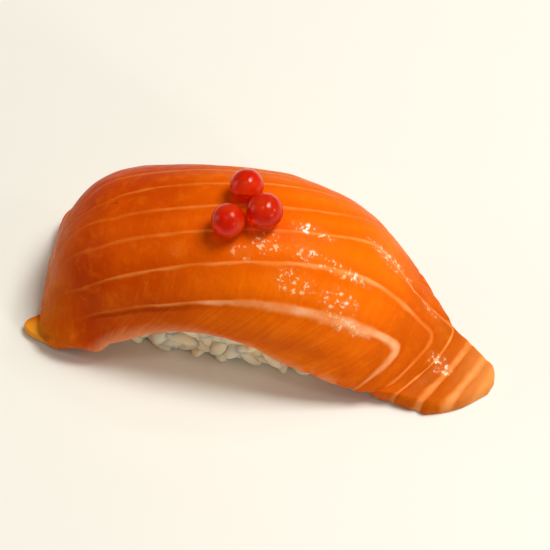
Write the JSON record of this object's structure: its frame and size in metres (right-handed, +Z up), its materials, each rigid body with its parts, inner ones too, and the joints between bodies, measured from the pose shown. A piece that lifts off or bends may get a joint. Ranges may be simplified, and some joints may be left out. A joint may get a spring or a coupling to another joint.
{
  "type": "salmon nigiri sushi",
  "caption": "Hand-pressed rice block under a draped slice of raw salmon that tapers to one end, topped with beads of salmon roe.",
  "frame": {"origin": "on the plate's surface, on the rice block's flat foot, below its middle", "axes": "+X along the piece toward the slice's tapering tail end, +Y toward its back side, +Z up"},
  "size_m": [0.0761, 0.0321, 0.034],
  "materials": {
    "rice": "moist cooked rice",
    "salmon": "wet raw salmon with pale fat lines",
    "roe": "glossy translucent red"
  },
  "bodies": {
    "root": {"rice_block": "rice", "salmon_slice": "salmon", "roe_bead_1": "roe", "roe_bead_2": "roe", "roe_bead_3": "roe"}
  },
  "joints": []
}
